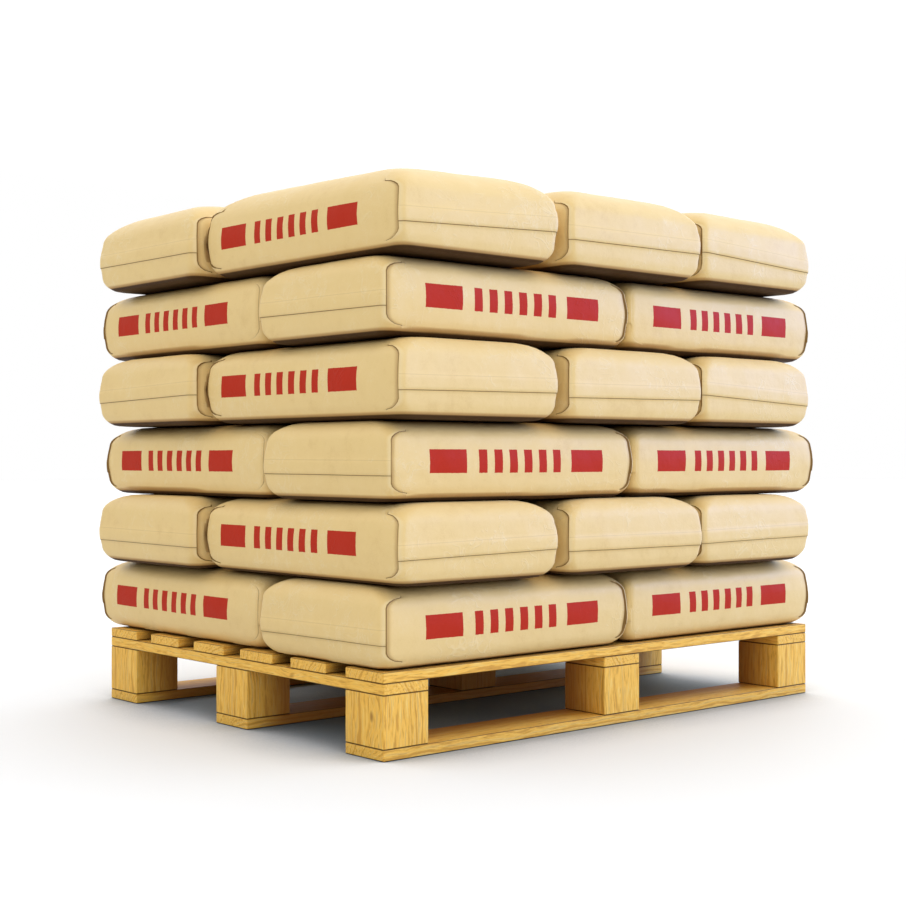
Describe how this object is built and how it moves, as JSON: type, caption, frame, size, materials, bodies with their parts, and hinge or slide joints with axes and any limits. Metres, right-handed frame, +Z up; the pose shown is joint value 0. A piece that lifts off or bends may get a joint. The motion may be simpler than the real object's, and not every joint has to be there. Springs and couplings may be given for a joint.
{
  "type": "pallet of sacks",
  "caption": "Wooden four-way block pallet loaded with crossed layers of filled paper valve sacks.",
  "frame": {"origin": "on the floor under the middle of the pallet, at the centre of the middle bottom board's underside", "axes": "+X along the pallet's 1.2 m length, +Y across it towards the back, +Z up"},
  "size_m": [1.2508, 1.0523, 1.0421],
  "materials": {
    "sack_paper": "smooth tan kraft paper with fine wrinkles and a faint sheen",
    "pallet_timber": "sawn yellow pine"
  },
  "bodies": {
    "root": {"bottom_board_front": "pallet_timber", "bottom_board_middle": "pallet_timber", "bottom_board_back": "pallet_timber", "block_front_left": "pallet_timber", "block_front_middle": "pallet_timber", "block_front_right": "pallet_timber", "block_middle_left": "pallet_timber", "block_middle_middle": "pallet_timber", "block_middle_right": "pallet_timber", "block_back_left": "pallet_timber", "block_back_middle": "pallet_timber", "block_back_right": "pallet_timber", "stringer_left": "pallet_timber", "stringer_middle": "pallet_timber", "stringer_right": "pallet_timber", "deck_board_1": "pallet_timber", "deck_board_2": "pallet_timber", "deck_board_3": "pallet_timber", "deck_board_4": "pallet_timber", "deck_board_5": "pallet_timber", "deck_board_6": "pallet_timber", "sack_1_front_left": "sack_paper", "sack_1_front_right": "sack_paper", "sack_1_back_left": "sack_paper", "sack_1_back_middle": "sack_paper", "sack_1_back_right": "sack_paper", "sack_2_front_left": "sack_paper", "sack_2_front_middle": "sack_paper", "sack_2_front_right": "sack_paper", "sack_2_back_left": "sack_paper", "sack_2_back_right": "sack_paper", "sack_3_front_left": "sack_paper", "sack_3_front_right": "sack_paper", "sack_3_back_left": "sack_paper", "sack_3_back_middle": "sack_paper", "sack_3_back_right": "sack_paper", "sack_4_front_left": "sack_paper", "sack_4_front_middle": "sack_paper", "sack_4_front_right": "sack_paper", "sack_4_back_left": "sack_paper", "sack_4_back_right": "sack_paper", "sack_5_front_left": "sack_paper", "sack_5_front_right": "sack_paper", "sack_5_back_left": "sack_paper", "sack_5_back_middle": "sack_paper", "sack_5_back_right": "sack_paper", "sack_6_front_left": "sack_paper", "sack_6_front_middle": "sack_paper", "sack_6_front_right": "sack_paper", "sack_6_back_left": "sack_paper", "sack_6_back_right": "sack_paper"}
  },
  "joints": []
}
